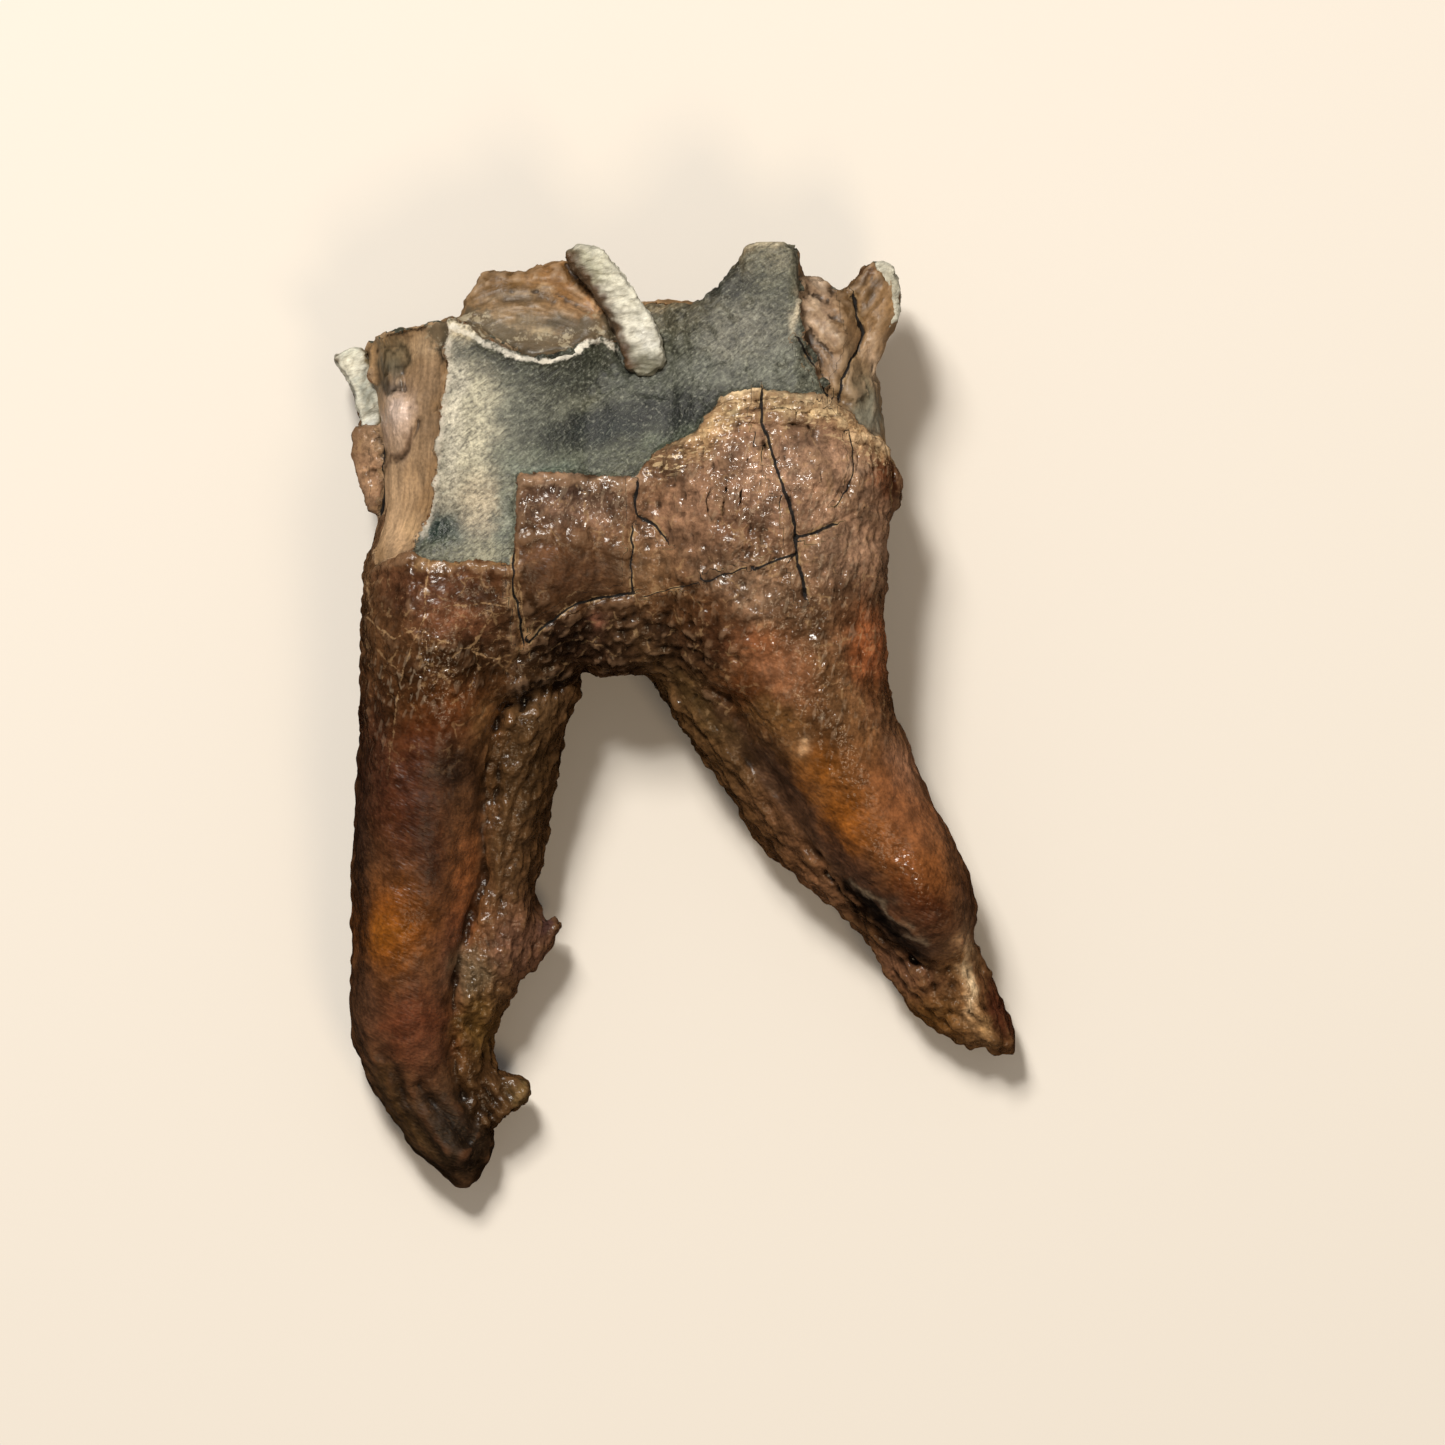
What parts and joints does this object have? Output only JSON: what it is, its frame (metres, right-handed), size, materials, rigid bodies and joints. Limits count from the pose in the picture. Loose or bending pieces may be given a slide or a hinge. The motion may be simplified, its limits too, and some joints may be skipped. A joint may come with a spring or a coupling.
{
  "type": "fossil woolly rhino tooth",
  "caption": "Fossil cheek tooth with a broken enamel crown and two long diverging roots, lying on its side.",
  "frame": {"origin": "middle of the bounding box, on the surface that the tooth lies on", "axes": "+Y from the roots to the broken crown, +Z from the tongue side that it lies on to the cheek side, +X across the crown from the straight root to the slanting one"},
  "size_m": [0.0808, 0.1116, 0.0351],
  "materials": {
    "fossil": "brown glossy cement and root over dark grey satin enamel, with tan dentine and white enamel at the breaks"
  },
  "bodies": {
    "root": {"tooth": "fossil"}
  },
  "joints": []
}
